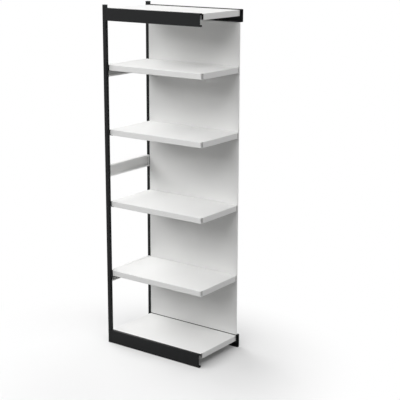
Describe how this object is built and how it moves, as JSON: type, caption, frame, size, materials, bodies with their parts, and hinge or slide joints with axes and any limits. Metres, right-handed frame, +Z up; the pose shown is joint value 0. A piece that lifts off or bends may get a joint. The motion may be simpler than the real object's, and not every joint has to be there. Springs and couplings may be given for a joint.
{
  "type": "add-on bay of steel shelving",
  "caption": "Tall open add-on bay of steel clip shelving: one slotted end frame, black beams top and bottom, folded white shelves and a back panel.",
  "frame": {"origin": "on the floor, midway along the width and the depth", "axes": "+Z up, +X along the shelves from the end frame to the open end, +Y from the front to the back panel"},
  "size_m": [0.707, 0.425, 2.1],
  "materials": {
    "black_powder_coated_steel": "fine-textured satin powder coat",
    "white_powder_coated_steel": "smooth satin powder coat",
    "zinc_plated_steel": "bright zinc plating",
    "black_polypropylene": "moulded, fine matt grain"
  },
  "bodies": {
    "end_frame_and_beams": {"upright_front": "black_powder_coated_steel", "foot_front": "black_polypropylene", "top_cap_front": "black_polypropylene", "fascia_front": "black_powder_coated_steel", "plinth_front": "black_powder_coated_steel", "fascia_bracket_front": "black_powder_coated_steel", "plinth_bracket_front": "black_powder_coated_steel", "shelf_clip_second_front": "black_powder_coated_steel", "shelf_clip_third_front": "black_powder_coated_steel", "shelf_clip_fourth_front": "black_powder_coated_steel", "shelf_clip_fifth_front": "black_powder_coated_steel", "strut_screw_front_1": "zinc_plated_steel", "strut_screw_front_2": "zinc_plated_steel", "strut_screw_front_3": "zinc_plated_steel", "strut_screw_front_4": "zinc_plated_steel", "strut_screw_front_5": "zinc_plated_steel", "strut_screw_front_6": "zinc_plated_steel", "upright_rear": "black_powder_coated_steel", "foot_rear": "black_polypropylene", "top_cap_rear": "black_polypropylene", "fascia_rear": "black_powder_coated_steel", "plinth_rear": "black_powder_coated_steel", "fascia_bracket_rear": "black_powder_coated_steel", "plinth_bracket_rear": "black_powder_coated_steel", "shelf_clip_second_rear": "black_powder_coated_steel", "shelf_clip_third_rear": "black_powder_coated_steel", "shelf_clip_fourth_rear": "black_powder_coated_steel", "shelf_clip_fifth_rear": "black_powder_coated_steel", "strut_screw_rear_1": "zinc_plated_steel", "strut_screw_rear_2": "zinc_plated_steel", "strut_screw_rear_3": "zinc_plated_steel", "strut_screw_rear_4": "zinc_plated_steel", "strut_screw_rear_5": "zinc_plated_steel", "strut_screw_rear_6": "zinc_plated_steel", "strut_lower": "white_powder_coated_steel", "strut_middle": "white_powder_coated_steel", "strut_upper": "white_powder_coated_steel", "back_panel": "white_powder_coated_steel", "panel_screw_low_1": "zinc_plated_steel", "panel_screw_low_2": "zinc_plated_steel", "panel_screw_low_3": "zinc_plated_steel", "panel_screw_high_1": "zinc_plated_steel", "panel_screw_high_2": "zinc_plated_steel", "panel_screw_high_3": "zinc_plated_steel"},
    "shelf_bottom": {"shelf_bottom": "white_powder_coated_steel"},
    "shelf_second": {"shelf_second": "white_powder_coated_steel"},
    "shelf_third": {"shelf_third": "white_powder_coated_steel"},
    "shelf_fourth": {"shelf_fourth": "white_powder_coated_steel"},
    "shelf_fifth": {"shelf_fifth": "white_powder_coated_steel"},
    "shelf_top": {"shelf_top": "white_powder_coated_steel"}
  },
  "joints": [
    {"name": "shelf_bottom_lift", "type": "slide", "parent": "end_frame_and_beams", "child": "shelf_bottom", "axis": [0, 0, 1], "range_m": [0, 0.04]},
    {"name": "shelf_second_lift", "type": "slide", "parent": "end_frame_and_beams", "child": "shelf_second", "axis": [0, 0, 1], "range_m": [0, 0.04]},
    {"name": "shelf_third_lift", "type": "slide", "parent": "end_frame_and_beams", "child": "shelf_third", "axis": [0, 0, 1], "range_m": [0, 0.04]},
    {"name": "shelf_fourth_lift", "type": "slide", "parent": "end_frame_and_beams", "child": "shelf_fourth", "axis": [0, 0, 1], "range_m": [0, 0.04]},
    {"name": "shelf_fifth_lift", "type": "slide", "parent": "end_frame_and_beams", "child": "shelf_fifth", "axis": [0, 0, 1], "range_m": [0, 0.04]},
    {"name": "shelf_top_lift", "type": "slide", "parent": "end_frame_and_beams", "child": "shelf_top", "axis": [0, 0, 1], "range_m": [0, 0.04]}
  ]
}
